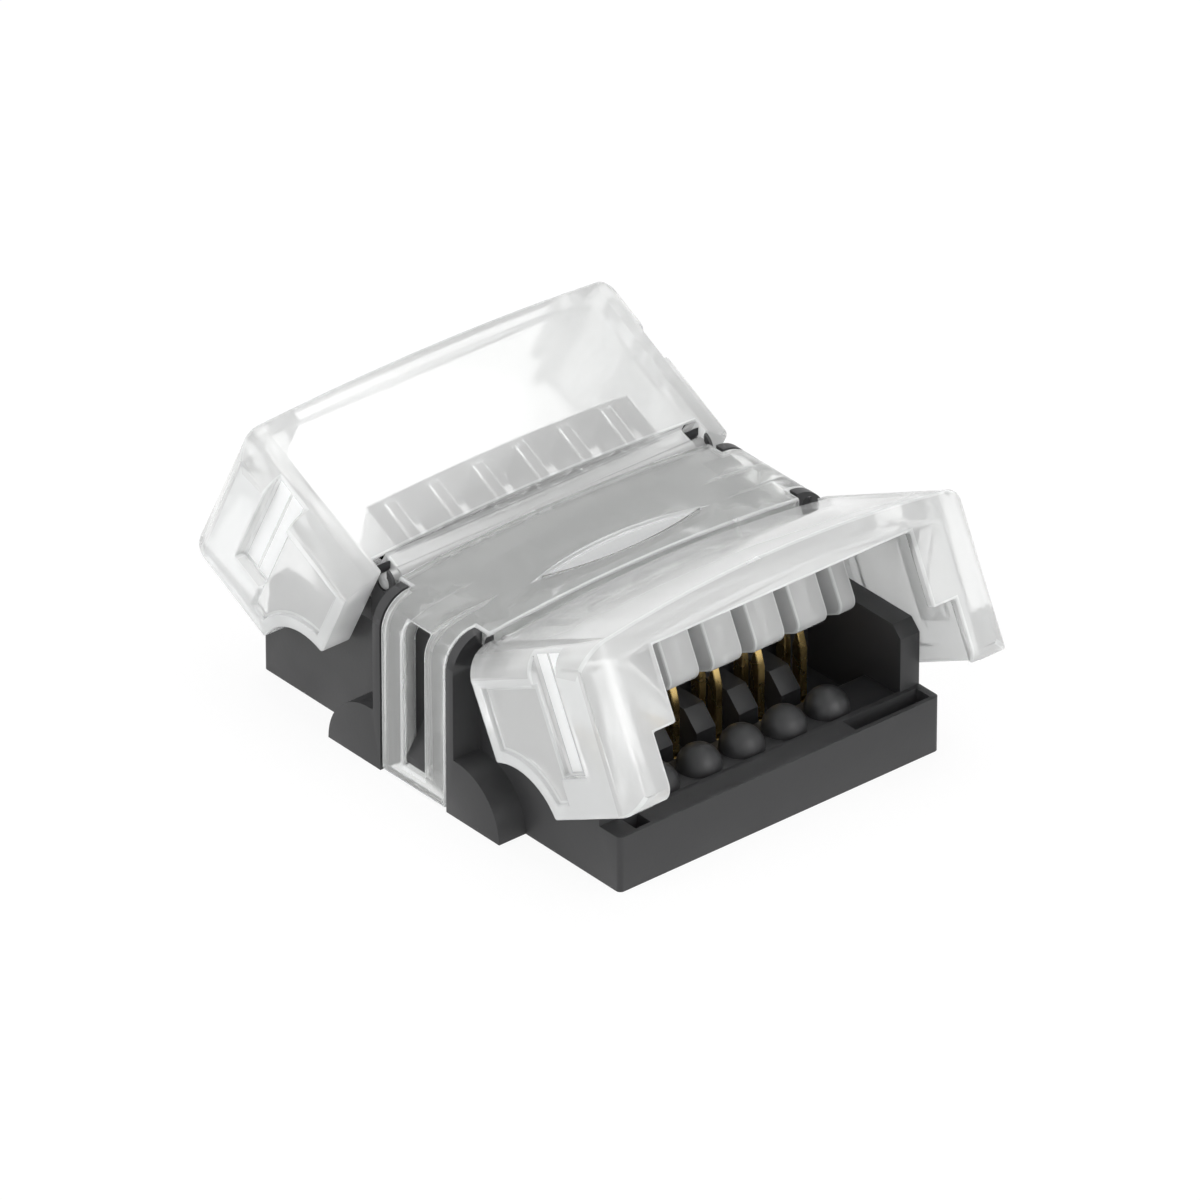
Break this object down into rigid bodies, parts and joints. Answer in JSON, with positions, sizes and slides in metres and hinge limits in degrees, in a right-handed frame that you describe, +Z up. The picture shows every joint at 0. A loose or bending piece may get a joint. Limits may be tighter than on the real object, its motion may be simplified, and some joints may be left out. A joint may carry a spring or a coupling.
{
  "type": "led strip connector",
  "caption": "Clip-on LED strip connector: black base with pronged contacts that pierce the strip, a clear centre saddle and a hinged clear cover at each end, both covers open.",
  "frame": {"origin": "centre of the base's flat underside", "axes": "+X along the strip, out of the end nearest the camera in the picture; +Y across the strip; +Z up, away from the flat underside"},
  "size_m": [0.0246, 0.0178, 0.011],
  "materials": {
    "black_plastic": "satin moulded black thermoplastic with a fine spark-eroded grain",
    "clear_saddle": "clear injection-moulded polycarbonate, glossy, slightly hazy",
    "clear_cover": "clear injection-moulded polycarbonate, glossy, frosted on its press ribs",
    "gold_contact": "gold-plated stamped phosphor bronze, smooth"
  },
  "bodies": {
    "base": {"base": "black_plastic", "saddle": "clear_saddle", "contact_1": "gold_contact", "contact_2": "gold_contact", "contact_3": "gold_contact", "contact_4": "gold_contact", "contact_5": "gold_contact", "contact_6": "gold_contact"},
    "front_cover": {"front_cover": "clear_cover"},
    "rear_cover": {"rear_cover": "clear_cover"}
  },
  "joints": [
    {"name": "front_cover_hinge", "type": "hinge", "parent": "base", "child": "front_cover", "pos_m": [0.00315, 0, 0.0068], "axis": [0, 1, 0], "range_deg": [0, 26.6]},
    {"name": "rear_cover_hinge", "type": "hinge", "parent": "base", "child": "rear_cover", "pos_m": [-0.00315, 0, 0.0068], "axis": [0, -1, 0], "range_deg": [0, 26.6]}
  ]
}
